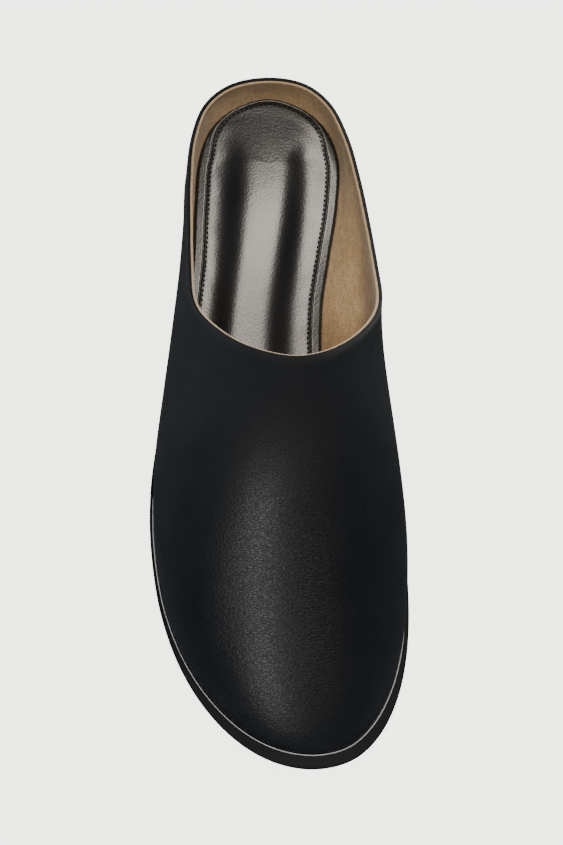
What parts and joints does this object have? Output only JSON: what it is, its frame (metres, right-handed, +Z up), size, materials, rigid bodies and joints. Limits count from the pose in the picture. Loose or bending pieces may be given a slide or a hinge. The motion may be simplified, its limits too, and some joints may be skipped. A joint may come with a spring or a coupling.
{
  "type": "slip-on mule shoe",
  "caption": "Low slip-on mule shoe for the right foot, closed rounded toe, high throat, standing rim round the heel, padded sock, thin sole and low spreading heel.",
  "frame": {"origin": "centre of the shoe's box in plan, on the floor it stands on", "axes": "+Z up, +Y towards the heel, +X towards the inner, big toe side"},
  "size_m": [0.0888, 0.256, 0.071],
  "materials": {
    "upper_leather": "smooth black leather with a tan suede lining",
    "sock_leather": "glossy black leather over padding",
    "sole": "black finished sole edge",
    "heel": "black finished heel block",
    "top_piece": "matt black rubber"
  },
  "bodies": {
    "root": {"upper": "upper_leather", "insole": "sock_leather", "outsole": "sole", "heel": "heel", "heel_top_piece": "top_piece"}
  },
  "joints": []
}
